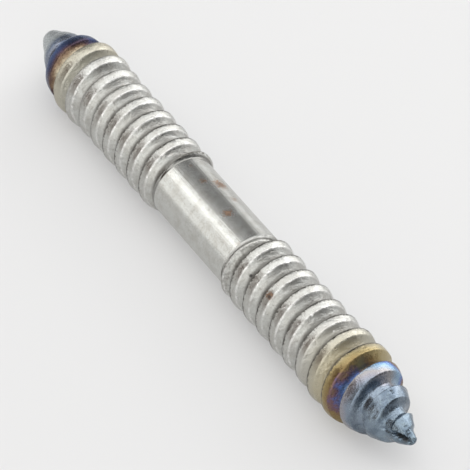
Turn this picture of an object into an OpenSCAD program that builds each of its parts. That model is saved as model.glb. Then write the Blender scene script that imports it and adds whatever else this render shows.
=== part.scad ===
// Double-ended wood screw of 8 x 70 mm, one piece of rolled steel: a plain shank
// between two right-hand threads that each run out into a point.
// The axis lies along X at the height of its resting radius, and the screw lies on z = 0.

/* [Lengths] */
// Length from point to point
overall_length = 70; // [62:1:100]
// Length of the plain shank between the two threads
shank_length = 13.4; // [11:0.1:20]
// Length of the threaded end at +X, from the shank to its tip
near_end_length = 29.2; // [22:0.1:35]

/* [Shank] */
// Diameter of the plain shank
shank_diameter = 7; // [6.4:0.1:7.6]
// Bevel on the shank's two rims
shank_bevel = 0.12; // [0.05:0.01:0.3]

/* [Thread] */
// Diameter over the crests
crest_diameter = 8; // [7.8:0.1:8.4]
// Diameter over the swollen last full turn, on which the screw rests
collar_diameter = 8.5; // [8.4:0.1:9]
// Diameter at the floor of the groove
root_diameter = 5.9; // [5:0.1:6.2]
// Distance from crest to crest along the axis
pitch = 2.44; // [2:0.02:2.8]
// Width of the crest along the axis
crest_width = 0.7; // [0.4:0.05:0.9]
// Width of the groove's floor along the axis
groove_width = 0.3; // [0.1:0.05:0.5]
// Length along the axis in which the crest at +X rises from the groove's floor
near_rise = 0.6; // [0.4:0.1:1.6]
// Length along the axis in which the crest at -X rises from the groove's floor
far_rise = 1.2; // [0.8:0.1:1.6]
// How far before the rim at -X that rise starts, so that the crest runs on over the shank
far_lead = 0.9; // [0.3:0.1:1.2]
// Length along the axis in which the crests swell to the last full turn
swell_length = 2.5; // [1.5:0.5:6]
// Angle about the axis, up from +Y, at which the crest passes the shank's rim at +X
near_start_angle = 120; // [0:1:359]
// The same angle at the shank's rim at -X
far_start_angle = 43; // [0:1:359]

/* [Points] */
// Length of the point at +X
near_point_length = 10; // [7:0.1:12]
// Roundness of the point at +X, where 1 is a straight cone
near_point_roundness = 1.6; // [1.2:0.1:2.4]
// Diameter of the blunt tip at +X
near_tip_diameter = 0.7; // [0.4:0.1:1.2]
// Length of the point at -X
far_point_length = 8.4; // [7:0.1:12]
// Roundness of the point at -X
far_point_roundness = 1.6; // [1.2:0.1:2.4]
// Diameter of the blunt tip at -X
far_tip_diameter = 1.5; // [0.6:0.1:1.8]

/* [Split tip] */
// Length of the split that opens one side of the tip at +X
split_length = 2.2; // [1.5:0.1:3]
// Width of the split
split_width = 0.5; // [0.3:0.05:0.7]
// Height of the split's floor above the axis at the tip
split_floor = 0.08; // [0.05:0.01:0.2]
// Angle of the split about the axis, up from +Y
split_angle = 124; // [0:1:359]

/* [Facets] */
// Facets in one turn, in multiples of four so that a flat lies underneath
turn_steps = 28; // [20:4:28]
// Points across one pitch
form_steps = 8; // [6:2:8]

/* [Hidden] */
steel = [0.76, 0.76, 0.74];

crest_r = crest_diameter/2;
collar_r = collar_diameter/2;
root_r = root_diameter/2;
shank_r = shank_diameter/2;
far_end_length = overall_length - shank_length - near_end_length;
near_shoulder = overall_length/2 - near_end_length;
far_shoulder = near_shoulder - shank_length;
step_angle = 360/turn_steps;
axis_height = collar_r*cos(step_angle/2);
// The thread stops this far short of the tip, which closes as a small cone.
tip_gap = 0.3;
// The split's cut starts outside the point and runs out past the tip.
split_top = shank_r/2;
split_overrun = 0.5;

function limit(v) = max(0, min(1, v));

// Height of the thread form, 1 at the crest and 0 at the groove's floor, at a share of the pitch.
function form(t, crest = crest_width/pitch/2, floor_half = groove_width/pitch/2) =
    0.5 + 0.5*cos(180*limit((abs(t) - crest)/(0.5 - crest - floor_half)));

// Share of the full radius that a point keeps at a distance past its start.
function taper(past, point_length, roundness) =
    1 - pow(limit(past/point_length), roundness);

// Radius over the crests before the point: the last full turn is swollen all round.
function body_crest(to_point) =
    crest_r + (collar_r - crest_r)*limit(1 - (to_point - pitch)/swell_length);

// Radius of the threaded end at a distance a from the shank, for a form height h.
function thread_radius(a, h, end) =
    let (start = end[0] - end[1],
         keep = taper(a - start, end[1], end[2]),
         tip_r = end[3]/2,
         crest = tip_r + (body_crest(start - a) - tip_r)*keep,
         root = tip_r + (root_r - tip_r)*keep,
         rise = limit((a + end[6])/end[5]))
    root + (crest - root)*rise*h;

// One threaded end along +X from the shank's rim at x = 0, as a grid that follows the helix.
// end = [length, point length, point roundness, tip diameter, start angle, rise, lead]
module threaded_end(end) {
    share = 0.5/turn_steps - 0.5 - end[4]/360;
    // The first turn is hidden in the shank.
    first = pitch*(share - floor(share) - 2);
    columns = floor(turn_steps*((end[0] - tip_gap - first)/pitch - 1));
    points = [
        for (i = [0:columns], k = [0:form_steps - 1])
            let (a = first + pitch*(i/turn_steps + k/form_steps),
                 r = thread_radius(a, form(k/form_steps - 0.5), end),
                 angle = (i + 0.5)*step_angle)
            [a, r*cos(angle), r*sin(angle)],
        for (i = [columns - turn_steps + 1:columns])
            let (a = first + pitch*(i/turn_steps + 1),
                 r = thread_radius(a, 0, end),
                 angle = (i + 0.5)*step_angle)
            [a, r*cos(angle), r*sin(angle)],
        [first + pitch/2, 0, 0],
        [end[0], 0, 0]
    ];
    grid = (columns + 1)*form_steps;
    start_hub = grid + turn_steps;
    tip_hub = start_hub + 1;
    // Index of a grid point, where the last point across a pitch is the first of the next turn.
    function at(i, k) =
        k < form_steps ? i*form_steps + k
        : i + turn_steps <= columns ? (i + turn_steps)*form_steps
        : grid + i - (columns - turn_steps + 1);
    faces = [
        for (i = [0:columns - 1], k = [0:form_steps - 1])
            each [[at(i, k), at(i, k + 1), at(i + 1, k)],
                  [at(i + 1, k), at(i, k + 1), at(i + 1, k + 1)]],
        for (i = [0:turn_steps - 1]) [start_hub, at(i, 0), at(i + 1, 0)],
        for (k = [0:form_steps - 1]) [start_hub, at(0, k + 1), at(0, k)],
        for (i = [columns - turn_steps:columns - 1])
            [tip_hub, at(i + 1, form_steps), at(i, form_steps)],
        for (k = [0:form_steps - 1]) [tip_hub, at(columns, k), at(columns, k + 1)]
    ];
    polyhedron(points, faces);
}

// Plain shank with bevelled rims, along X between the two shoulders.
module shank() {
    translate([far_shoulder, 0, 0]) rotate([0, 90, 0]) rotate_extrude()
        polygon([
            [0, 0],
            [shank_r - shank_bevel, 0],
            [shank_r, shank_bevel],
            [shank_r, shank_length - shank_bevel],
            [shank_r - shank_bevel, shank_length],
            [0, shank_length]
        ]);
}

// Narrow cut into one side of the near point, deepest at the tip.
module split() {
    translate([near_shoulder + near_end_length, 0, 0]) rotate([split_angle - 90, 0, 0])
        rotate([90, 0, 0]) linear_extrude(split_width, center = true)
            polygon([
                [-split_length, split_top],
                [0, split_floor],
                [split_overrun, split_floor],
                [split_overrun, split_top]
            ]);
}

module screw() {
    near = [near_end_length, near_point_length, near_point_roundness, near_tip_diameter,
            near_start_angle, near_rise, 0];
    // The far end is turned half round, so its start angle is mirrored.
    far = [far_end_length, far_point_length, far_point_roundness, far_tip_diameter,
           180 - far_start_angle, far_rise, far_lead];
    color(steel) translate([0, 0, axis_height]) difference() {
        union() {
            shank();
            translate([near_shoulder, 0, 0]) threaded_end(near);
            translate([far_shoulder, 0, 0]) rotate([0, 0, 180]) threaded_end(far);
        }
        split();
    }
}

screw();
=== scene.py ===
"""Double-ended wood screw that lies on a pale floor, seen from above its near point."""
import math
from collections import namedtuple
from types import SimpleNamespace

import bpy
import numpy as np
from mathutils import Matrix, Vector


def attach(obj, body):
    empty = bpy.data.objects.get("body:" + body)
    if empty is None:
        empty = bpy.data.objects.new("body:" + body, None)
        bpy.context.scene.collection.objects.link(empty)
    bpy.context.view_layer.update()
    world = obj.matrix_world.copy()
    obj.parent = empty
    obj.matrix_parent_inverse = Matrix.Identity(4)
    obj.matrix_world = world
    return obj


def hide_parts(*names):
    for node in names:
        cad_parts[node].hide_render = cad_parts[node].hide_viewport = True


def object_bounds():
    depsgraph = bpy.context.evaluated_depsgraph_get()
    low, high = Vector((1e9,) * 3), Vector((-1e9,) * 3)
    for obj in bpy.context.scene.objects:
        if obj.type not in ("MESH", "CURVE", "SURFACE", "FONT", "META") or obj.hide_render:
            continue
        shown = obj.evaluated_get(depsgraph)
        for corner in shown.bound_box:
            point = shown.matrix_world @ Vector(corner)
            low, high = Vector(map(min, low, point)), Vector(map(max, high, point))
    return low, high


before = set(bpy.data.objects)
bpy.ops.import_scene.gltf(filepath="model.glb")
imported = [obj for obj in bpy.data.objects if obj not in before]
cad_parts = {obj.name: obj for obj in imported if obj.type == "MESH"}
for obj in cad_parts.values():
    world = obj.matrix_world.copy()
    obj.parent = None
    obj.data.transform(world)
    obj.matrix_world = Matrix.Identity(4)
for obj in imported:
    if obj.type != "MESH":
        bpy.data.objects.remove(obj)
cad_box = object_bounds()


def grey(level):
    """Colour with the same level of red, green and blue."""
    return (level, level, level)


# Sizes in millimetres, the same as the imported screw's, with the near end at +X and the far end at -X
MM = 0.001
PITCH = 2.44
TIP = 35.0
NEAR_RIM = 5.8
FAR_RIM = -7.6
SHANK_R = 3.5
CREST_R = 4.0
ROOT_R = 2.95
THREAD_DEPTH = CREST_R - ROOT_R
# Length in which the crests swell to the last full turn
SWELL = 2.5
# Most that the far crest may run on over the shank
RUN_ON = 2.0
# Lengths of the two rounded ends, and the least square of the share of the radius that they keep
NEAR_BLUNT = 0.3
FAR_BLUNT = 0.5
BLUNT_LEAST = 0.04
# Height of the screw's axis above the floor in metres
AXIS_HEIGHT = (cad_box[0].z + cad_box[1].z) / 2

# Each threaded end: its point, the radius of its swollen turn, and the rise of its crest at the rim
End = namedtuple("End", "point_length roundness tip_r collar_r rise_length lead")
NEAR_END = End(point_length=10.0, roundness=1.6, tip_r=0.35, collar_r=4.22, rise_length=0.6, lead=0.0)
FAR_END = End(point_length=8.4, roundness=1.6, tip_r=0.75, collar_r=4.2, rise_length=1.2, lead=0.9)

# Angles in degrees, up from +Y, at which the crest passes the two rims
NEAR_START = 120.0
FAR_START = 43.0
# Turns of the helix from rim to rim
SHANK_TURNS = 5 + (NEAR_START - FAR_START) / 360
# Past these places, on the points, the thread is drawn out to a longer pitch.
NEAR_POINT = 26.6
FAR_POINT = -26.6
POINT_PITCH = 2.75
# Turns of the crest, up from +Y, at a few places along x, with an even pitch between them
NEAR_RIM_TURNS = NEAR_START / 360
FAR_RIM_TURNS = NEAR_RIM_TURNS - SHANK_TURNS
NEAR_POINT_TURNS = NEAR_RIM_TURNS + (NEAR_POINT - NEAR_RIM) / PITCH
FAR_POINT_TURNS = FAR_RIM_TURNS + (FAR_POINT - FAR_RIM) / PITCH
BEYOND = 60.0
KNOT_X = (-BEYOND, FAR_POINT, FAR_RIM, NEAR_RIM, NEAR_POINT, BEYOND)
KNOT_TURNS = (
    FAR_POINT_TURNS + (-BEYOND - FAR_POINT) / POINT_PITCH,
    FAR_POINT_TURNS,
    FAR_RIM_TURNS,
    NEAR_RIM_TURNS,
    NEAR_POINT_TURNS,
    NEAR_POINT_TURNS + (BEYOND - NEAR_POINT) / POINT_PITCH,
)
# Turns at x = 0 of each end's thread, if it ran on there at an even pitch
NEAR_ZERO_TURNS = NEAR_RIM_TURNS - NEAR_RIM / PITCH
FAR_ZERO_TURNS = FAR_RIM_TURNS - FAR_RIM / PITCH

# Grid of the skin: columns round the screw, rows along one pitch, and the gap that the end caps close
COLUMNS = 112
ROWS = 28
CAP_GAP = 0.01
# Each rim has three rows of points square to the axis, so that it is crisp.
RIM_ROWS = (
    (NEAR_RIM, (-0.09, 0.0, 0.05)),
    (FAR_RIM, (-0.05, 0.0, 0.09)),
)

# Thread form along +X: a sharp far edge on a row of the grid, a crest that falls away in a curve,
# then a flank, a groove and the far flank of the next crest
CREST_EDGE = -5 * PITCH / ROWS
CREST_END = 0.42
CREST_CURVE = 1.8
FLANK_POWER = 1.7
GROOVE_START = 1.56
GROOVE_END = 1.64
# Slight lip along the crest's near edge: share of the depth, distance before the edge and width
LIP_HEIGHT = 0.02
LIP_BACK = 0.03
LIP_WIDTH = 0.09
# Towards both points the crests are broader and flatter.
FLAT_SPAN = (23.0, 26.5)
FLAT_BROADER = 0.2
FLAT_CURVE = 1.1
# On the near point the groove starts sooner, and the top of the crest lies past its far edge.
NEAR_GROOVE_SPAN = (26.0, 28.0)
NEAR_GROOVE_SOONER = 0.5
NEAR_TOP_SPAN = (23.5, 25.5)
NEAR_TOP_SHIFT = 0.5
# The far point's last turns are worn towards one height of the form, so that they are nearly smooth.
WORN_SPAN = (-29.8, -31.2)
WORN_HEIGHT = 0.62
WORN_SHARE = 0.75

# Dents and pits: x, angle up from +Y, half length along x, half width round, depth
DENTS = (
    (9.31, 134.6, 0.10, 0.16, 0.10),
    (6.30, 131.5, 0.16, 0.12, 0.10),
    (10.96, 107.2, 0.12, 0.10, 0.10),
    (-8.99, 99.0, 0.10, 0.30, 0.14),
    (-15.78, 80.3, 0.14, 0.14, 0.14),
    (6.06, 61.4, 0.14, 0.16, 0.25),
    (30.27, 76.7, 0.16, 0.16, 0.16),
    (32.42, 164.3, 0.42, 0.12, 0.14),
    (30.46, 160.9, 0.20, 0.14, 0.10),
    (18.92, 109.4, 0.12, 0.12, 0.06),
    (-3.0, 63.0, 0.35, 0.25, 0.05),
    (22.1, 40.0, 0.2, 0.3, 0.12),
)
DENT_POWER = 1.5

# Split in the near tip: a hollow with a wavy edge between two flaps
SPLIT_ANGLE = 152
SPLIT_SPAN = (32.6, 33.2)
SPLIT_WIDENS = (32.7, 33.3)
SPLIT_HALF_WIDTH = 0.30
SPLIT_WAVE = 0.05
SPLIT_WAVES = 17
SPLIT_SOFT = 0.05
SPLIT_FLOOR_R = 0.16
# Added to the distance from the split on the tip's other side, which stays whole
SPLIT_OTHER_SIDE = 3

# Rough skin of the threads: fade at the rims, then the depth, size and seed of each noise
SKIN_FADE = (0.0, 0.3)
COARSE_SKIN = (0.02, 0.55, 3)
FINE_SKIN = (0.014, 0.22, 5)
POINT_SKIN = (0.06, 0.8, 7)
POINT_SKIN_SPAN = (27.5, 29.5)
NOISE_TABLE = 4096
NOISE_PRIMES = (73856093, 19349663, 83492791)
# The near tip leans to one side, in a direction up from +Y.
LEAN = 0.26
LEAN_SPAN = (32.3, 35)
LEAN_ANGLE = math.radians(40)

# Noises in the steel: scale per millimetre, detail, roughness and stretch along x, y and z
Noise = namedtuple("Noise", "scale detail rough stretch", defaults=(0.55, None))
BROAD = Noise(0.9, 4)
FINE = Noise(5.0, 4)
SPECK = Noise(2.6, 5, 0.65)
LINES = Noise(1.0, 3, 0.6, (0.12, 5.0, 5.0))
MARKS = Noise(1.0, 4, 0.6, (4.5, 1.1, 1.1))
GRAIN = Noise(7.0, 2)
SCUFFS = Noise(3.4, 3)
MOTTLE = Noise(0.8, 2, 0.5)
NOISE_MIDDLE = 0.5

# Parts of the screw as spans in millimetres. A span is a start and an end, and then the share that it
# gives at each, where that isn't 0 and 1.
SHANK_FAR_SPAN = (FAR_RIM - 0.05, FAR_RIM + 0.1)
SHANK_NEAR_SPAN = (NEAR_RIM + 0.05, NEAR_RIM - 0.1)
NEAR_POINT_SPAN = (25.5, 27.5)
FAR_POINT_SPAN = (-26.5, -28.0)
LOW_SPAN = (3.7, 3.15)

# Bright steel with warmer patches, dark grain, scratches along the shank and marks across the threads
BRIGHT_STEEL = (0.55, 0.555, 0.53)
WARM_STEEL = (0.47, 0.465, 0.435)
WARM_SPAN = (0.35, 0.7)
GRAIN_COLOUR = (0.25, 0.24, 0.22)
GRAIN_SPAN = (0.4, 0.7, 0.0, 0.22)
LINE_COLOUR = (0.42, 0.41, 0.39)
LINE_SPAN = (0.55, 0.75, 0.0, 0.35)
MARK_COLOUR = (0.36, 0.34, 0.32)
MARK_SPAN = (0.45, 0.7, 0.0, 0.4)
# Polished near edge of the crest, made brighter still as a painted highlight, as a distance from it, broken
# by specks
POLISH_HIGHLIGHT_COLOUR = (0.86, 0.855, 0.84)
POLISH_HIGHLIGHT_PLACE = CREST_END - CREST_EDGE
POLISH_HIGHLIGHT_SPAN = (0.13, 0.03)
POLISH_HIGHLIGHT_SPECKS = (0.3, 0.65, 0.6, 0.1)
# Grime in specks, with more in the grooves, where the extra darkening is dirt and painted shade
GRIME_AND_SHADE_COLOUR = (0.22, 0.20, 0.17)
GRIME_AND_SHADE_SPECKS = (0.56, 0.70)
GRIME_AND_SHADE_IN_GROOVES = 0.5
GRIME_ALL_OVER = 0.22
# Painted shade as a dark line in the crease at the far rim, and scuffs at the start of the near thread
RIM_SHADE_COLOUR = (0.15, 0.145, 0.135)
RIM_SHADE_PLACE = FAR_RIM + 0.14
RIM_SHADE_SPAN = (0.32, 0.16, 0.0, 0.7)
SCUFF_COLOUR = (0.17, 0.16, 0.145)
SCUFF_PLACE = NEAR_RIM + 1.0
SCUFF_SPAN = (1.2, 0.4)
SCUFF_SPECKS = (0.46, 0.60, 0.0, 0.45)
# Ragged dark line on both sides of the crest's far edge, partly dirt and partly painted shade of the crease
# there, fainter towards the far point
LAP_DIRT_AND_SHADE_COLOUR = (0.075, 0.07, 0.06)
LAP_SHADE_AFTER = (0.24, 0.08)
LAP_SHADE_BEFORE = (PITCH - 0.06, PITCH - 0.01)
LAP_SHADE_RAGGED = 0.7
LAP_SHADE_PATCHES = (0.3, 0.6, 0.65, 0.95)
LAP_SHADE_FADE = (-24.0, -15.0, 0.3, 1.0)
# Painted shade on the floor of the groove, by distance from the axis
GROOVE_SHADE_COLOUR = (0.09, 0.085, 0.075)
GROOVE_SHADE_SPAN = (3.32, 3.06, 0.0, 0.8)

# Heat tint: colours at distances from the middle of the screw, from bare steel to the tip
NEAR_TINT = (
    (19.5, (0.55, 0.545, 0.52)),
    (22.8, (0.44, 0.42, 0.35)),
    (24.4, (0.49, 0.44, 0.31)),
    (25.3, (0.35, 0.28, 0.14)),
    (26.0, (0.25, 0.175, 0.08)),
    (26.22, (0.17, 0.10, 0.12)),
    (26.42, (0.10, 0.17, 0.43)),
    (26.85, (0.24, 0.38, 0.53)),
    (27.5, (0.33, 0.315, 0.315)),
    (27.9, (0.29, 0.29, 0.33)),
    (28.4, (0.23, 0.275, 0.335)),
    (35.0, (0.18, 0.24, 0.285)),
)
FAR_TINT = (
    (24.0, (0.54, 0.535, 0.51)),
    (26.0, (0.45, 0.435, 0.37)),
    (28.0, (0.50, 0.45, 0.34)),
    (28.4, (0.22, 0.15, 0.10)),
    (28.7, (0.08, 0.05, 0.055)),
    (29.2, (0.04, 0.05, 0.11)),
    (29.9, (0.045, 0.085, 0.20)),
    (30.5, (0.07, 0.11, 0.20)),
    (31.0, (0.24, 0.26, 0.31)),
    (31.6, (0.11, 0.14, 0.20)),
    (32.4, (0.36, 0.39, 0.40)),
    (35.0, (0.44, 0.465, 0.47)),
)
NEAR_TINT_RANGE = (18.0, 36.0)
FAR_TINT_RANGE = (20.0, 36.0)
NEAR_TINT_SPAN = (19.5, 21.5)
FAR_TINT_SPAN = (23.8, 25.6)
# Shift of the tint round the screw: share of y, share of z and a plain shift
NEAR_SHIFT = (-0.18, 0.20, -0.98)
NEAR_SHIFT_SPAN = (24.6, 27.0, 0.25, 1.0)
FAR_SHIFT = (0.022, -0.153, 0.477)
# Wander of the tints' edges with the broad and the fine noise
WANDER_BROAD = 0.8
WANDER_FINE = 0.2

# Near point: dark mottle, painted shade in a crease behind each crest, and paler specks
MOTTLE_COLOUR = (0.08, 0.11, 0.15)
MOTTLE_PLACE = (28.0, 28.8)
MOTTLE_SPAN = (0.40, 0.60, 0.5, 0.0)
CREASE_SHADE_COLOUR = (0.05, 0.06, 0.075)
CREASE_SHADE_PLACE = CREST_END + 0.3 - CREST_EDGE
CREASE_SHADE_SPAN = (0.16, 0.04, 0.0, 0.35)
CREASE_SHADE_STARTS = (27.6, 28.2)
CREASE_SHADE_STOPS = (32.0, 31.0)
TIP_SPECK_COLOUR = (0.27, 0.33, 0.36)
TIP_SPECK_PLACE = (28.2, 29.5)
TIP_SPECKS = (0.50, 0.68, 0.0, 0.5)

# Rust spots: x, angle up from +Y, distance from the axis, size and strength
RUST_SPOTS = (
    (-3.74, 86.9, 3.5, 0.6, 0.45),
    (1.59, 91.9, 3.5, 0.8, 0.75),
    (-2.84, 62.0, 3.5, 1.2, 0.6),
    (-6.37, 84.0, 3.5, 0.4, 0.25),
    (13.34, 130.1, 4.0, 0.65, 0.8),
    (-0.2, 60.0, 3.5, 0.7, 0.3),
    (5.6, 114.0, 3.5, 0.4, 0.2),
)
RUST_COLOUR = (0.25, 0.145, 0.085)
RUST_DARK_COLOUR = (0.15, 0.09, 0.06)
RUST_PATCHES = (0.4, 0.6)
RUST_RAGGED = 1.6
RUST_SPAN = (0.0, 0.55, 0.0, 0.9)

# Painted shade in pits, dents and the tip's split, and painted glints as bright spots: x, angle up from +Y,
# distance from the axis and size
SHADED_PIT_SPOTS = (
    (9.31, 134.6, 3.1, 0.26),
    (6.30, 131.5, 3.0, 0.3),
    (10.96, 107.2, 4.0, 0.16),
    (13.4, 131.5, 4.0, 0.3),
    (-8.99, 99.0, 3.9, 0.3),
    (-15.78, 80.3, 3.6, 0.3),
    (6.06, 61.4, 3.4, 0.35),
    (30.27, 76.7, 3.0, 0.3),
    (32.2, 164.3, 2.3, 0.3),
    (32.65, 164.3, 2.2, 0.3),
    (30.46, 160.9, 3.1, 0.24),
    (33.5, 152.0, 0.4, 0.55),
    (34.2, 152.0, 0.3, 0.5),
)
PIT_SHADE_COLOUR = (0.035, 0.032, 0.03)
PIT_SHADE_CORE = 0.3
PIT_SHADE_SHARE = 0.85
# Painted glints, as small near-white spots
GLINT_SPOTS = (
    (18.47, 102.4, 3.85, 0.26),
    (21.13, 90.5, 3.5, 0.2),
    (22.45, 173.0, 3.9, 0.24),
)
GLINT_COLOUR = (0.95, 0.95, 0.94)
GLINT_CORE = 0.4
GLINT_SHARE = 0.9

# Gloss: how far spots are from metal, and what makes the steel rougher or smoother
SPOT_NOT_METAL = 0.8
ROUGHNESS = 0.27
SPECK_ROUGHER = (0.35, 0.75, 0.0, 0.12)
LOW_ROUGHER = 0.04
POINT_ROUGHER = -0.06
SPOT_ROUGHER = 0.4
# Heights of the bumps in millimetres, for a whole step of each noise
BUMP_STRENGTH = 0.8
LINE_BUMP = 0.018
SPECK_BUMP = 0.075
MARK_BUMP = 0.05
FINE_BUMP = 0.026
FINE_BUMP_NEAR_TIP = -0.006
FINE_BUMP_SHANK = -0.025
NEAR_TIP_SPAN = (27.8, 29.0)

# Floor in metres: it is paler near the screw as a painted pool of light, and partly glows for the camera
# and the metal.
FLOOR_HALF = 1.2
LIT_POOL_FADE = (0.06, 0.20)
LIT_POOL_COLOURS = (grey(0.69), grey(0.32))
GLOW_COLOURS = (grey(0.86), grey(0.39))
GLOW_SHARE = 0.36
FLOOR_ROUGHNESS = 0.9
FLOOR_SPECULAR = 0.1

# Rectangular lights that face straight down: name, place and size in metres, watts
SOFTBOXES = (
    ("ceiling_light", (0.0, 0.4, 0.5), (0.62, 1.25), 3.6),
    ("side_light", (-0.43, -0.185, 0.4), (0.30, 0.25), 0.27),
)

# Studio round the screw: direction of each soft patch, its outer and inner angle in degrees, colour
STUDIO_COLOUR = grey(0.42)
STUDIO_PATCHES = (
    ((-0.75, -0.65, 0.15), 48, 15, (0.82, 0.82, 0.81)),
    ((0.55, -0.8, 0.1), 42, 15, (1.55, 1.55, 1.54)),
    ((-0.5, 0.85, 0.05), 35, 15, grey(1.25)),
    ((0.0, 0.96, 0.2), 36, 15, grey(2.8)),
    ((-0.62, -0.64, 0.45), 36, 12, (1.75, 1.75, 1.73)),
    ((0.75, -0.25, 0.6), 40, 15, grey(0.75)),
    ((0.9, -0.42, 0.12), 32, 12, (1.4, 1.4, 1.39)),
    ((-0.08, -0.79, 0.6), 38, 17, (0.10, 0.05, 0.028)),
    ((0.72, -0.48, 0.5), 36, 14, (1.75, 1.75, 1.73)),
    ((-0.62, 0.42, 0.65), 30, 12, (0.2, 0.2, 0.205)),
    ((0.65, 0.6, 0.4), 42, 22, (0.16, 0.16, 0.165)),
)

# Camera: degrees, then metres, with the lens and sensor in millimetres
AZIMUTH = 58.57
ELEVATION = 43.39
DISTANCE = 0.393
LENS = 300.0
SENSOR = 36
CLIP_START = 0.01
CLIP_END = 10
MOVE_RIGHT = 0.001424
MOVE_UP = -0.00062


def smooth(edge_a, edge_b, value):
    """0 at edge_a and 1 at edge_b, with a soft start and end."""
    share = np.clip((value - edge_a) / (edge_b - edge_a), 0, 1)
    return share * share * (3 - 2 * share)


def lattice_noise(places, seed):
    """Smooth noise in -1..1 at places in the last axis."""
    table = np.random.RandomState(seed).uniform(-1, 1, NOISE_TABLE)
    base = np.floor(places).astype(np.int64)
    share = places - base
    share = share * share * (3 - 2 * share)
    total = np.zeros(places.shape[:-1])
    for corner in range(8):
        step = np.array([corner & 1, corner >> 1 & 1, corner >> 2 & 1])
        keys = (base + step) * NOISE_PRIMES
        key = keys[..., 0] ^ keys[..., 1] ^ keys[..., 2]
        weight = np.prod(np.where(step == 1, share, 1 - share), axis=-1)
        total += weight * table[key & (NOISE_TABLE - 1)]
    return total


def skin_noise(places, kind):
    """Noise of one kind in millimetres."""
    depth, size, seed = kind
    return depth * lattice_noise(places / size, seed)


def turns_at(x):
    """Angle of the crest at x, in turns up from +Y."""
    return np.interp(x, KNOT_X, KNOT_TURNS)


def x_at(turns):
    """The x at which the crest has that angle."""
    return np.interp(turns, KNOT_TURNS, KNOT_X)


def form(turn, x):
    """Height of the thread form, 1 at the crest and 0 at the groove's floor."""
    along = ((turn * PITCH - CREST_EDGE) % PITCH) + CREST_EDGE
    flat = smooth(*FLAT_SPAN, np.abs(x))
    crest_end = CREST_END + FLAT_BROADER * flat
    curve = CREST_CURVE + FLAT_CURVE * flat
    groove_start = GROOVE_START - NEAR_GROOVE_SOONER * smooth(*NEAR_GROOVE_SPAN, x)
    top = CREST_EDGE + NEAR_TOP_SHIFT * smooth(*NEAR_TOP_SPAN, x)
    crest = 1 - (along - top) ** 2 / (2 * curve * THREAD_DEPTH)
    crest_low = 1 - (crest_end - top) ** 2 / (2 * curve * THREAD_DEPTH)
    down = np.clip((along - crest_end) / (groove_start - crest_end), 0, 1)
    flank = crest_low * (1 - down) ** FLANK_POWER
    far_flank = np.clip((along - GROOVE_END) / (CREST_EDGE + PITCH - GROOVE_END), 0, 1)
    height = np.where(along < crest_end, crest, np.maximum(flank, far_flank))
    height = height + LIP_HEIGHT * np.exp(-(((along - crest_end + LIP_BACK) / LIP_WIDTH) ** 2))
    return height + (WORN_HEIGHT - height) * WORN_SHARE * smooth(*WORN_SPAN, x)


def threaded(past_rim, height, length, end):
    """Radius of a threaded end at a distance past the shank's rim, for a height of the form."""
    past = past_rim - (length - end.point_length)
    keep = 1 - np.clip(past / end.point_length, 0, 1) ** end.roundness
    body_r = CREST_R + (end.collar_r - CREST_R) * np.clip(1 + (past + PITCH) / SWELL, 0, 1)
    crest = end.tip_r + (body_r - end.tip_r) * keep
    root = end.tip_r + (ROOT_R - end.tip_r) * keep
    rise = np.clip((past_rim + end.lead) / end.rise_length, 0, 1)
    return root + (crest - root) * rise * height


def turned_from(angle, degrees):
    """How far an angle in radians lies past a direction, within half a turn either way."""
    return (angle - math.radians(degrees) + math.pi) % (2 * math.pi) - math.pi


def radius(x, angle):
    """Radius of the whole screw at x and an angle in radians up from +Y."""
    turn = angle / (2 * math.pi)
    far_turns = np.where(x < FAR_RIM, turns_at(x), FAR_RIM_TURNS + (x - FAR_RIM) / PITCH)
    near = threaded(x - NEAR_RIM, form(turns_at(x) - turn, x), TIP - NEAR_RIM, NEAR_END)
    far = threaded(FAR_RIM - x, form(far_turns - turn, x), TIP + FAR_RIM, FAR_END)
    # The last far crest runs on over the shank and sinks into it.
    shank = np.where(x < FAR_RIM + RUN_ON, np.maximum(SHANK_R, far), SHANK_R)
    r = np.where(x > NEAR_RIM, near, np.where(x < FAR_RIM, far, shank))
    for side, blunt in ((1, NEAR_BLUNT), (-1, FAR_BLUNT)):
        left = np.clip((TIP - side * x) / blunt, 0, 1)
        r = r * np.sqrt(np.clip(1 - (1 - left) ** 2, BLUNT_LEAST, 1))
    for dent_x, dent_angle, half_x, half_arc, depth in DENTS:
        arc = turned_from(angle, dent_angle) * r
        off = ((x - dent_x) / half_x) ** 2 + (arc / half_arc) ** 2
        r = r - depth * np.exp(-(off**DENT_POWER))
    from_split = turned_from(angle, SPLIT_ANGLE)
    other_side = np.abs(from_split) > math.pi / 2
    across = np.abs(r * np.sin(from_split)) + SPLIT_OTHER_SIDE * other_side
    half_width = SPLIT_HALF_WIDTH * smooth(*SPLIT_WIDENS, x) + SPLIT_WAVE * np.sin(x * SPLIT_WAVES)
    hollow = smooth(SPLIT_SOFT, -SPLIT_SOFT, across - half_width) * smooth(*SPLIT_SPAN, x)
    return r + (np.minimum(r, SPLIT_FLOOR_R) - r) * hollow


def thread_grid():
    """x and angle of every point of a grid that follows the thread, from past one tip to past the other."""
    first = int(math.floor((float(turns_at(-TIP)) - 2) * ROWS))
    last = int(math.ceil((float(turns_at(TIP)) + 1) * ROWS))
    rows = np.arange(first, last + 1)
    angle = np.arange(COLUMNS) * 2 * math.pi / COLUMNS
    x = x_at(angle[:, None] / (2 * math.pi) + rows[None, :] / ROWS)
    for rim, steps in RIM_ROWS:
        middle = np.argmin(np.abs(x - rim), axis=1)
        for offset, step in zip((-1, 0, 1), steps):
            x[np.arange(COLUMNS), middle + offset] = rim + step
    return x, np.broadcast_to(angle[:, None], x.shape)


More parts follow.
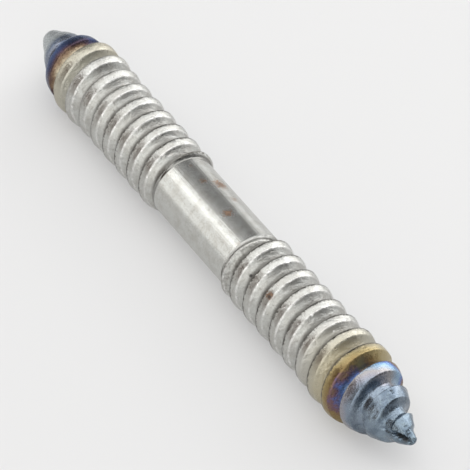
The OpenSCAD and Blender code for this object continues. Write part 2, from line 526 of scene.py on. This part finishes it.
def skin_points(x, angle):
    """Points of the skin in millimetres, roughened on the threads."""
    r = radius(x, angle)
    places = np.stack([x, r * np.cos(angle), r * np.sin(angle)], -1)
    on_threads = smooth(*SKIN_FADE, x - NEAR_RIM) + smooth(*SKIN_FADE, FAR_RIM - x)
    on_point = smooth(*POINT_SKIN_SPAN, x)
    rough = skin_noise(places, COARSE_SKIN) + skin_noise(places, FINE_SKIN)
    rough = np.minimum(rough, 0) * (1 + on_point)
    rough = rough + on_point * np.minimum(skin_noise(places, POINT_SKIN), 0)
    r = r + on_threads * rough
    lean = LEAN * smooth(*LEAN_SPAN, x)
    y = r * np.cos(angle) + lean * math.cos(LEAN_ANGLE)
    z = r * np.sin(angle) + lean * math.sin(LEAN_ANGLE)
    return np.stack([x, y, z], -1).reshape(-1, 3)


def skin_numbers(past_far, past_near):
    """Number of the point at each place of the grid, with the first column again at the end."""
    numbers = np.arange(past_far.size).reshape(past_far.shape)
    columns = np.arange(COLUMNS)
    # Every place past an end has that column's one point on the end's ring.
    first_past = np.argmax(past_near, axis=1)
    last_past = past_far.shape[1] - 1 - np.argmax(past_far[:, ::-1], axis=1)
    numbers = np.where(past_near, numbers[columns, first_past][:, None], numbers)
    numbers = np.where(past_far, numbers[columns, last_past][:, None], numbers)
    # Round the screw the grid meets itself one pitch further on.
    beyond = np.broadcast_to(numbers[:1, -1:], (1, ROWS))
    again = np.concatenate([numbers[:1, ROWS:], beyond], axis=1)
    return np.concatenate([numbers, again], axis=0)


def grid_faces(numbers):
    """Two triangles for each cell of the grid, without those that have no area."""
    here = numbers[:-1, :-1]
    ahead = numbers[:-1, 1:]
    beside = numbers[1:, :-1]
    opposite = numbers[1:, 1:]
    lower = np.stack([here, ahead, beside], -1).reshape(-1, 3)
    upper = np.stack([beside, ahead, opposite], -1).reshape(-1, 3)
    faces = np.concatenate([lower, upper])
    first, second, third = faces.T
    return faces[(first != second) & (second != third) & (first != third)]


def screw_mesh():
    """One closed skin from point to point."""
    x, angle = thread_grid()
    end = TIP - CAP_GAP
    past_far = x <= -end
    past_near = x >= end
    points = skin_points(np.clip(x, -end, end), angle)
    numbers = skin_numbers(past_far, past_near)
    faces = grid_faces(numbers)
    # A hub in the middle of each end's ring closes it.
    for column, tip_x in ((-1, TIP), (0, -TIP)):
        ring = numbers[:COLUMNS, column]
        hub = points[ring].mean(0)
        hub[0] = tip_x
        centre = np.full(COLUMNS, len(points))
        after = np.roll(ring, -1)
        cap = [ring, centre, after] if tip_x > 0 else [after, centre, ring]
        points = np.concatenate([points, [hub]])
        faces = np.concatenate([faces, np.stack(cap, -1)])
    used, faces = np.unique(faces, return_inverse=True)
    mesh = bpy.data.meshes.new("screw_body")
    mesh.from_pydata((points[used] * MM).tolist(), [], faces.reshape(-1, 3).tolist())
    mesh.shade_smooth()
    mesh.update()
    return mesh


class Graph:
    """Short calls for building a node tree."""

    def __init__(self, tree):
        self.tree = tree

    def node(self, kind, **settings):
        """New node of a kind."""
        made = self.tree.nodes.new(kind)
        for name, value in settings.items():
            setattr(made, name, value)
        return made

    def feed(self, socket, value):
        """Link a socket to the value, or set it."""
        if isinstance(value, bpy.types.NodeSocket):
            self.tree.links.new(value, socket)
        else:
            socket.default_value = value

    def fed(self, made, values):
        """The node, with its first sockets fed."""
        for socket, value in zip(made.inputs, values):
            self.feed(socket, value)
        return made

    def math(self, operation, *values):
        """One operation on numbers."""
        return self.fed(self.node("ShaderNodeMath", operation=operation), values).outputs[0]

    def vector(self, operation, *values):
        """One operation on vectors, as its node."""
        return self.fed(self.node("ShaderNodeVectorMath", operation=operation), values)

    def chain(self, operation, values):
        """One operation on several values, from left to right."""
        total = values[0]
        for value in values[1:]:
            total = self.math(operation, total, value)
        return total

    def plus(self, *values):
        """Sum of the values."""
        return self.chain("ADD", values)

    def times(self, *values):
        """Product of the values."""
        return self.chain("MULTIPLY", values)

    def most(self, *values):
        """Largest of the values."""
        return self.chain("MAXIMUM", values)

    def minus(self, value, other):
        """Difference of two values."""
        return self.math("SUBTRACT", value, other)

    def apart(self, value, other):
        """Distance between two values."""
        return self.math("ABSOLUTE", self.minus(value, other))

    def span(self, value, start, end, at_start=0.0, at_end=1.0):
        """Soft step of a value from start to end."""
        made = self.node("ShaderNodeMapRange", interpolation_type="SMOOTHSTEP")
        names = ("Value", "From Min", "From Max", "To Min", "To Max")
        for name, fed in zip(names, (value, start, end, at_start, at_end)):
            self.feed(made.inputs[name], fed)
        return made.outputs["Result"]

    def mix(self, share, colour, other):
        """Mix of two colours."""
        made = self.node("ShaderNodeMix", data_type="RGBA", blend_type="MIX")
        self.feed(made.inputs[0], share)
        for socket, value in ((made.inputs[6], colour), (made.inputs[7], other)):
            self.feed(socket, value if isinstance(value, bpy.types.NodeSocket) else (*value, 1))
        return made.outputs[2]

    def ramp(self, value, low, high, stops):
        """Colours at places between low and high."""
        made = self.node("ShaderNodeValToRGB")
        elements = made.color_ramp.elements
        while len(elements) < len(stops):
            elements.new(0.5)
        for element, (place, colour) in zip(elements, stops):
            element.position = (place - low) / (high - low)
            element.color = (*colour, 1)
        self.feed(made.inputs[0], self.math("DIVIDE", self.minus(value, low), high - low))
        return made.outputs[0]

    def noise(self, place, kind):
        """Noise of one kind."""
        made = self.node("ShaderNodeTexNoise")
        if kind.stretch:
            place = self.vector("MULTIPLY", place, kind.stretch).outputs[0]
        self.feed(made.inputs["Vector"], place)
        made.inputs["Scale"].default_value = kind.scale
        made.inputs["Detail"].default_value = kind.detail
        made.inputs["Roughness"].default_value = kind.rough
        return made.outputs["Fac"]

    def swing(self, noise, size):
        """A noise about 0, times a size."""
        return self.times(self.minus(noise, NOISE_MIDDLE), size)


def places_on_screw(g):
    """Place on the screw in millimetres from its axis, the parts of the screw there, and the noises."""
    at = SimpleNamespace()
    scaled = g.vector("SCALE", g.node("ShaderNodeTexCoord").outputs["Object"])
    scaled.inputs["Scale"].default_value = 1 / MM
    at.place = scaled.outputs[0]
    split = g.fed(g.node("ShaderNodeSeparateXYZ"), [at.place])
    at.x, at.y, at.z = split.outputs
    at.out = g.math("SQRT", g.plus(g.times(at.y, at.y), g.times(at.z, at.z)))

    at.shank = g.times(g.span(at.x, *SHANK_FAR_SPAN), g.span(at.x, *SHANK_NEAR_SPAN))
    at.thread = g.minus(1.0, at.shank)
    at.point = g.most(g.span(at.x, *NEAR_POINT_SPAN), g.span(at.x, *FAR_POINT_SPAN))
    at.plain = g.minus(1.0, g.most(at.shank, at.point))
    at.low = g.times(g.span(at.out, *LOW_SPAN), at.plain)

    # Place across one pitch, from the crest's far edge on
    angle = g.math("DIVIDE", g.math("ARCTAN2", at.z, at.y), 2 * math.pi)
    near_half = g.math("GREATER_THAN", at.x, 0.0)
    near_start = g.times(near_half, NEAR_ZERO_TURNS - FAR_ZERO_TURNS)
    drawn_out = g.times(g.most(g.minus(at.x, NEAR_POINT), 0.0), 1 / POINT_PITCH - 1 / PITCH)
    turn = g.plus(g.math("DIVIDE", at.x, PITCH), FAR_ZERO_TURNS, near_start, drawn_out)
    share = g.math("FRACT", g.minus(g.minus(turn, angle), CREST_EDGE / PITCH))
    at.across = g.times(share, PITCH)

    at.broad = g.noise(at.place, BROAD)
    at.fine = g.noise(at.place, FINE)
    at.speck = g.noise(at.place, SPECK)
    at.lines = g.noise(at.place, LINES)
    at.marks = g.noise(at.place, MARKS)
    return at


def bare_steel(g, at):
    """Colour of the steel with its marks, dirt, painted shade and painted highlight, before the heat tint.
    """
    colour = g.mix(g.span(at.broad, *WARM_SPAN), BRIGHT_STEEL, WARM_STEEL)
    colour = g.mix(g.span(g.noise(at.place, GRAIN), *GRAIN_SPAN), colour, GRAIN_COLOUR)
    colour = g.mix(g.times(g.span(at.lines, *LINE_SPAN), at.shank), colour, LINE_COLOUR)
    colour = g.mix(g.times(g.span(at.marks, *MARK_SPAN), at.thread), colour, MARK_COLOUR)
    # Painted highlight along the crest's polished near edge
    polish_highlight = g.span(g.apart(at.across, POLISH_HIGHLIGHT_PLACE), *POLISH_HIGHLIGHT_SPAN)
    polish_highlight = g.times(polish_highlight, at.plain, g.span(at.speck, *POLISH_HIGHLIGHT_SPECKS))
    colour = g.mix(polish_highlight, colour, POLISH_HIGHLIGHT_COLOUR)
    # Grime specks all over, and more in the grooves as dirt and painted shade
    grime_and_shade = g.plus(g.times(at.low, GRIME_AND_SHADE_IN_GROOVES), GRIME_ALL_OVER)
    colour = g.mix(g.times(g.span(at.speck, *GRIME_AND_SHADE_SPECKS), grime_and_shade), colour, GRIME_AND_SHADE_COLOUR)
    # Painted shade in the crease at the far rim
    colour = g.mix(g.span(g.apart(at.x, RIM_SHADE_PLACE), *RIM_SHADE_SPAN), colour, RIM_SHADE_COLOUR)
    scuff = g.span(g.apart(at.x, SCUFF_PLACE), *SCUFF_SPAN)
    scuff = g.times(scuff, g.span(g.noise(at.place, SCUFFS), *SCUFF_SPECKS))
    return g.mix(scuff, colour, SCUFF_COLOUR)


def tint_shift(g, at, shares):
    """Shift of a tint along x, by the place round the screw."""
    y_share, z_share, plain_shift = shares
    return g.plus(g.times(at.y, y_share), g.times(at.z, z_share), plain_shift)


def heat_tint(g, at, colour):
    """Straw, bronze, purple, blue and then slate towards both points."""
    wander = g.plus(g.swing(at.broad, WANDER_BROAD), g.swing(at.fine, WANDER_FINE))
    # The near tint reaches furthest back on the upper front, and least far underneath and behind.
    near_shift = g.times(tint_shift(g, at, NEAR_SHIFT), g.span(at.x, *NEAR_SHIFT_SPAN))
    near_x = g.plus(at.x, near_shift, wander)
    near_tint = g.ramp(near_x, *NEAR_TINT_RANGE, NEAR_TINT)
    # The far tint reaches furthest back underneath.
    far_x = g.plus(g.minus(tint_shift(g, at, FAR_SHIFT), at.x), wander)
    far_tint = g.ramp(far_x, *FAR_TINT_RANGE, FAR_TINT)
    colour = g.mix(g.span(near_x, *NEAR_TINT_SPAN), colour, near_tint)
    return g.mix(g.span(far_x, *FAR_TINT_SPAN), colour, far_tint)


def shaded_lines(g, at, colour):
    """Line of dirt and painted shade along the crest's far edge, and painted shade on the floor of the
    groove.
    """
    # Dirt and painted shade in the crease along the crest's far edge
    ragged = g.plus(at.across, g.swing(at.fine, LAP_SHADE_RAGGED))
    lap_shade = g.most(g.span(ragged, *LAP_SHADE_AFTER), g.span(at.across, *LAP_SHADE_BEFORE))
    lap_shade = g.times(lap_shade, at.plain, g.span(at.broad, *LAP_SHADE_PATCHES), g.span(at.x, *LAP_SHADE_FADE))
    colour = g.mix(lap_shade, colour, LAP_DIRT_AND_SHADE_COLOUR)
    # Painted shade, darker deeper in the groove
    return g.mix(g.times(g.span(at.out, *GROOVE_SHADE_SPAN), at.plain), colour, GROOVE_SHADE_COLOUR)


def near_point_marks(g, at, colour):
    """Mottle, painted shade in the creases, and specks on the slate of the near point."""
    mottle = g.times(g.span(at.x, *MOTTLE_PLACE), g.span(g.noise(at.place, MOTTLE), *MOTTLE_SPAN))
    colour = g.mix(mottle, colour, MOTTLE_COLOUR)
    # Painted shade in the crease behind each crest
    crease_shade = g.span(g.apart(at.across, CREASE_SHADE_PLACE), *CREASE_SHADE_SPAN)
    crease_shade = g.times(crease_shade, g.span(at.x, *CREASE_SHADE_STARTS), g.span(at.x, *CREASE_SHADE_STOPS))
    colour = g.mix(crease_shade, colour, CREASE_SHADE_COLOUR)
    specks = g.times(g.span(at.speck, *TIP_SPECKS), g.span(at.x, *TIP_SPECK_PLACE))
    return g.mix(specks, colour, TIP_SPECK_COLOUR)


def away_from(g, at, x, angle, r):
    """Distance in millimetres from a spot, which is given by x, angle and distance from the axis."""
    spot = (x, r * math.cos(math.radians(angle)), r * math.sin(math.radians(angle)))
    return g.vector("DISTANCE", at.place, spot).outputs["Value"]


def rust_share(g, at):
    """Share of rust, in soft spots with a ragged edge."""
    rust = 0.0
    for x, angle, r, size, strength in RUST_SPOTS:
        ragged = g.plus(away_from(g, at, x, angle, r), g.swing(at.fine, size * RUST_RAGGED))
        rust = g.most(rust, g.span(ragged, size, 0.0, 0.0, strength))
    return rust


def spot_share(g, at, spots, core, strength):
    """Share of round spots, full out to a part of their size."""
    share = 0.0
    for x, angle, r, size in spots:
        share = g.most(share, g.span(away_from(g, at, x, angle, r), size, size * core, 0.0, strength))
    return share


def bump_height(g, at):
    """Height of the fine relief in millimetres."""
    near_tip = g.span(at.x, *NEAR_TIP_SPAN)
    fine = g.plus(FINE_BUMP, g.times(near_tip, FINE_BUMP_NEAR_TIP), g.times(at.shank, FINE_BUMP_SHANK))
    return g.plus(
        g.times(at.lines, at.shank, LINE_BUMP),
        g.times(at.speck, at.thread, SPECK_BUMP),
        g.times(at.fine, fine),
        g.times(at.marks, at.thread, MARK_BUMP),
    )


def steel_material():
    """Steel with its heat tint, dirt, rust, painted shade, painted highlights and relief."""
    material = bpy.data.materials.new("steel")
    material.use_nodes = True
    g = Graph(material.node_tree)
    bsdf = material.node_tree.nodes["Principled BSDF"]
    at = places_on_screw(g)
    rust = rust_share(g, at)
    pit_shade = spot_share(g, at, SHADED_PIT_SPOTS, PIT_SHADE_CORE, PIT_SHADE_SHARE)
    # Share of the painted glints
    light = spot_share(g, at, GLINT_SPOTS, GLINT_CORE, GLINT_SHARE)

    colour = heat_tint(g, at, bare_steel(g, at))
    colour = near_point_marks(g, at, shaded_lines(g, at, colour))
    rust_colour = g.mix(g.span(at.fine, *RUST_PATCHES), RUST_COLOUR, RUST_DARK_COLOUR)
    colour = g.mix(g.span(rust, *RUST_SPAN), colour, rust_colour)
    # Painted shade in the pits, dents and the split
    colour = g.mix(pit_shade, colour, PIT_SHADE_COLOUR)
    # Painted glints
    colour = g.mix(light, colour, GLINT_COLOUR)
    g.feed(bsdf.inputs["Base Color"], colour)

    dull = g.most(g.times(rust, rust), pit_shade, light)
    g.feed(bsdf.inputs["Metallic"], g.minus(1.0, g.times(dull, SPOT_NOT_METAL)))
    roughness = g.plus(
        ROUGHNESS,
        g.times(at.thread, g.span(at.speck, *SPECK_ROUGHER)),
        g.times(at.low, LOW_ROUGHER),
        g.times(at.point, POINT_ROUGHER),
        g.times(dull, SPOT_ROUGHER),
    )
    g.feed(bsdf.inputs["Roughness"], roughness)

    bump = g.node("ShaderNodeBump")
    bump.inputs["Strength"].default_value = BUMP_STRENGTH
    bump.inputs["Distance"].default_value = MM
    g.feed(bump.inputs["Height"], bump_height(g, at))
    g.feed(bsdf.inputs["Normal"], bump.outputs[0])
    return material


def paper_material():
    """Pale paper for the floor, with a painted pool of light round the screw, which keeps the screw's
    shadow.
    """
    material = bpy.data.materials.new("paper")
    material.use_nodes = True
    nodes = material.node_tree.nodes
    g = Graph(material.node_tree)
    bsdf = nodes["Principled BSDF"]
    bsdf.inputs["Roughness"].default_value = FLOOR_ROUGHNESS
    bsdf.inputs["Specular IOR Level"].default_value = FLOOR_SPECULAR
    away = g.vector("LENGTH", g.node("ShaderNodeTexCoord").outputs["Object"]).outputs["Value"]
    # Painted pool of light: paler near the screw, darker further off
    lit_pool = g.span(away, *LIT_POOL_FADE)
    g.feed(bsdf.inputs["Base Color"], g.mix(lit_pool, *LIT_POOL_COLOURS))
    glow = g.node("ShaderNodeEmission")
    g.feed(glow.inputs["Color"], g.mix(lit_pool, *GLOW_COLOURS))
    rays = g.node("ShaderNodeLightPath").outputs
    seen = g.most(rays["Is Camera Ray"], rays["Is Glossy Ray"], rays["Is Transmission Ray"])
    parts = [g.times(seen, GLOW_SHARE), bsdf.outputs[0], glow.outputs[0]]
    blend = g.fed(g.node("ShaderNodeMixShader"), parts)
    g.feed(nodes["Material Output"].inputs["Surface"], blend.outputs[0])
    return material


def add_object(name, data):
    """New object in the scene."""
    made = bpy.data.objects.new(name, data)
    bpy.context.scene.collection.objects.link(made)
    return made


def add_floor():
    """Square floor at z = 0."""
    mesh = bpy.data.meshes.new("floor")
    corners = [(-1, -1), (1, -1), (1, 1), (-1, 1)]
    mesh.from_pydata([(x * FLOOR_HALF, y * FLOOR_HALF, 0) for x, y in corners], [], [(0, 1, 2, 3)])
    mesh.materials.append(paper_material())
    return add_object("floor", mesh)


def add_softbox(name, place, size, watts):
    """A rectangular light that faces straight down."""
    light = bpy.data.lights.new(name, "AREA")
    light.shape = "RECTANGLE"
    light.size, light.size_y = size
    light.energy = watts
    add_object(name, light).location = place


def add_studio():
    """World with soft patches of light and dark round the screw."""
    world = bpy.data.worlds.new("studio")
    bpy.context.scene.world = world
    world.use_nodes = True
    g = Graph(world.node_tree)
    direction = g.node("ShaderNodeTexCoord").outputs["Generated"]
    sky = STUDIO_COLOUR
    for towards, outer, inner, colour in STUDIO_PATCHES:
        dot = g.vector("DOT_PRODUCT", direction, tuple(Vector(towards).normalized())).outputs["Value"]
        share = g.span(dot, math.cos(math.radians(outer)), math.cos(math.radians(inner)))
        sky = g.mix(share, sky, colour)
    g.feed(world.node_tree.nodes["Background"].inputs["Color"], sky)


def add_camera():
    """Camera at the photo's viewing angle."""
    azimuth = math.radians(AZIMUTH)
    elevation = math.radians(ELEVATION)
    flat = math.cos(elevation)
    back = Vector((math.sin(azimuth) * flat, -math.cos(azimuth) * flat, math.sin(elevation)))
    right = Vector((math.cos(azimuth), math.sin(azimuth), 0))
    up = back.cross(right)
    data = bpy.data.cameras.new("camera")
    data.lens = LENS
    data.sensor_width = SENSOR
    data.clip_start = CLIP_START
    data.clip_end = CLIP_END
    camera = add_object("camera", data)
    middle = Vector((0, 0, AXIS_HEIGHT))
    camera.location = middle + back * DISTANCE + right * MOVE_RIGHT + up * MOVE_UP
    camera.rotation_mode = "QUATERNION"
    camera.rotation_quaternion = (-back).to_track_quat("-Z", "Y")
    bpy.context.scene.camera = camera


body = add_object("screw_body", screw_mesh())
body.location.z = AXIS_HEIGHT
body.data.materials.append(steel_material())
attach(body, "root")
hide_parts("screw")

floor = add_floor()
for softbox in SOFTBOXES:
    add_softbox(*softbox)
add_studio()
add_camera()
bpy.context.scene.view_settings.view_transform = "Standard"
